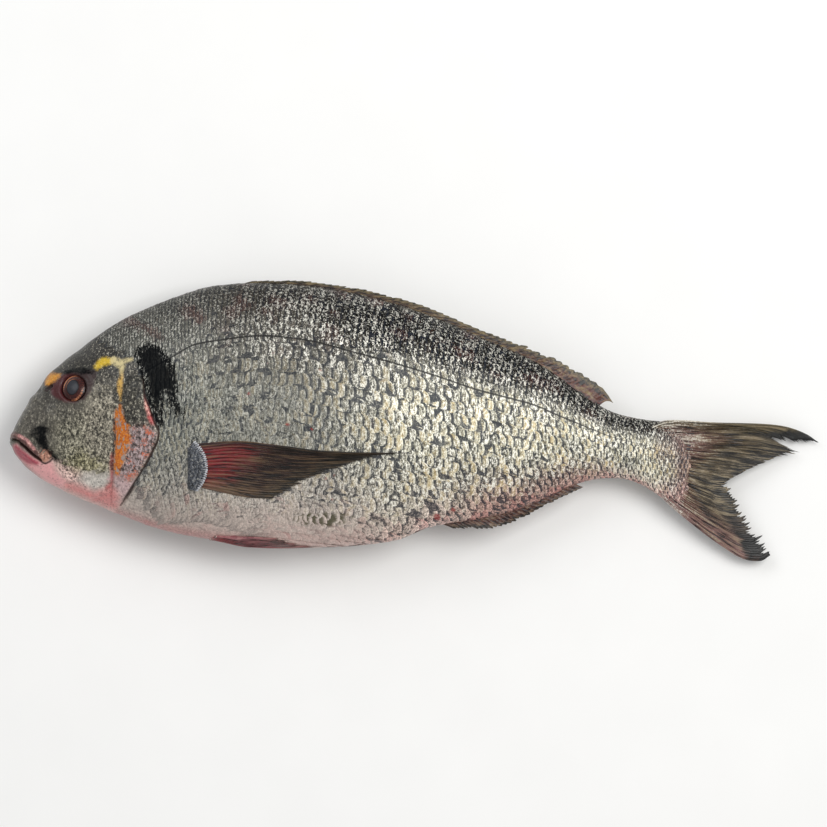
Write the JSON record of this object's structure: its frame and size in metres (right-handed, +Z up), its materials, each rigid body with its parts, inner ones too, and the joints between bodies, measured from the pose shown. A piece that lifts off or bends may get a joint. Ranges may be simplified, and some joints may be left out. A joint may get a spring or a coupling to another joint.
{
  "type": "whole raw fish",
  "caption": "Whole raw bream lying on its right side: deep flat body, blunt head, gill cover, folded fins and a forked tail.",
  "frame": {"origin": "on the surface that the fish lies on, under the middle of its outline", "axes": "+X from the snout to the tail, +Y from the belly to the back, +Z up out of the left flank"},
  "size_m": [0.3502, 0.1216, 0.0477],
  "materials": {
    "skin": "wet silvery scales, dark along the back, pale at the belly",
    "fin": "wet thin olive-brown web between darker rays, red at the roots",
    "eye": "clear wet dome over a copper iris and a dark pupil"
  },
  "bodies": {
    "root": {"fish": "skin", "eye_left": "eye", "eye_right": "eye"}
  },
  "joints": []
}
